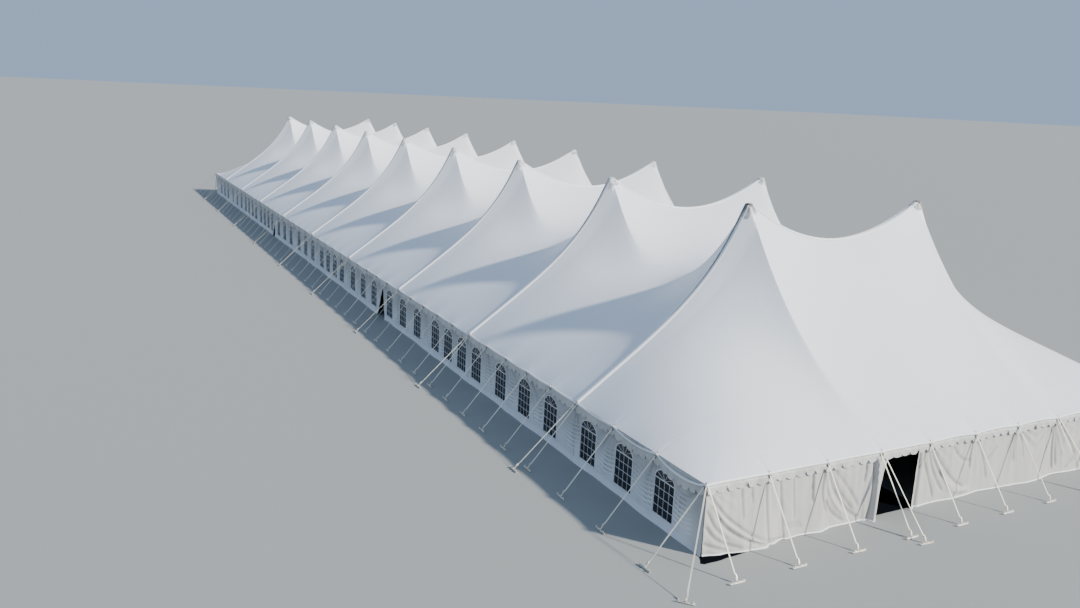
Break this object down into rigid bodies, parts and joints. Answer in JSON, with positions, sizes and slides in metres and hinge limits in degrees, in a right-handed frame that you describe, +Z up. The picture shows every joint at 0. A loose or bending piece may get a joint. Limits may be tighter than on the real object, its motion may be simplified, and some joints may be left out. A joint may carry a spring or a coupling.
{
  "type": "high-peak pole tent, 1:10 scale model",
  "caption": "Long marquee tent with twin rows of centre poles, peaked cloth roof, windowed side walls, end doorways and staked guy straps, at 1:10 scale.",
  "frame": {"origin": "middle of the tent's plan, on the ground", "axes": "+X runs across the tent to the right of someone facing it from the door end, +Y runs along its length away from that end, +Z is up"},
  "size_m": [3.697, 12.9686, 1.2293],
  "materials": {
    "roof_cloth": "smooth coated white tent cloth",
    "join_cloth": "bright white lacing flap",
    "side_wall_cloth": "white wall cloth with seams",
    "end_wall_cloth": "off-white gathered wall cloth",
    "window_sheet": "clear flexible window sheet",
    "pole_alloy": "dull pole metal",
    "strap_webbing": "white webbing straps with metal stake bars"
  },
  "bodies": {
    "root": {"far_end_wall": "end_wall_cloth", "far_side_poles": "pole_alloy", "guy_straps": "strap_webbing", "join_band_1": "join_cloth", "join_band_2": "join_cloth", "join_band_3": "join_cloth", "join_band_4": "join_cloth", "join_band_5": "join_cloth", "join_band_6": "join_cloth", "join_band_7": "join_cloth", "join_band_8": "join_cloth", "join_band_9": "join_cloth", "left_centre_pole_1": "pole_alloy", "left_centre_pole_2": "pole_alloy", "left_centre_pole_3": "pole_alloy", "left_centre_pole_4": "pole_alloy", "left_centre_pole_5": "pole_alloy", "left_centre_pole_6": "pole_alloy", "left_centre_pole_7": "pole_alloy", "left_centre_pole_8": "pole_alloy", "left_centre_pole_9": "pole_alloy", "left_side_poles_1": "pole_alloy", "left_side_poles_2": "pole_alloy", "left_side_poles_3": "pole_alloy", "left_wall_1": "side_wall_cloth", "left_wall_2": "side_wall_cloth", "left_wall_3": "side_wall_cloth", "left_window_sheet_1": "window_sheet", "left_window_sheet_2": "window_sheet", "left_window_sheet_3": "window_sheet", "near_end_wall": "end_wall_cloth", "near_side_poles": "pole_alloy", "right_centre_pole_1": "pole_alloy", "right_centre_pole_2": "pole_alloy", "right_centre_pole_3": "pole_alloy", "right_centre_pole_4": "pole_alloy", "right_centre_pole_5": "pole_alloy", "right_centre_pole_6": "pole_alloy", "right_centre_pole_7": "pole_alloy", "right_centre_pole_8": "pole_alloy", "right_centre_pole_9": "pole_alloy", "right_side_poles_1": "pole_alloy", "right_side_poles_2": "pole_alloy", "right_side_poles_3": "pole_alloy", "right_wall_1": "side_wall_cloth", "right_wall_2": "side_wall_cloth", "right_wall_3": "side_wall_cloth", "right_window_sheet_1": "window_sheet", "right_window_sheet_2": "window_sheet", "right_window_sheet_3": "window_sheet", "roof_section_1": "roof_cloth", "roof_section_10": "roof_cloth", "roof_section_2": "roof_cloth", "roof_section_3": "roof_cloth", "roof_section_4": "roof_cloth", "roof_section_5": "roof_cloth", "roof_section_6": "roof_cloth", "roof_section_7": "roof_cloth", "roof_section_8": "roof_cloth", "roof_section_9": "roof_cloth"}
  },
  "joints": []
}
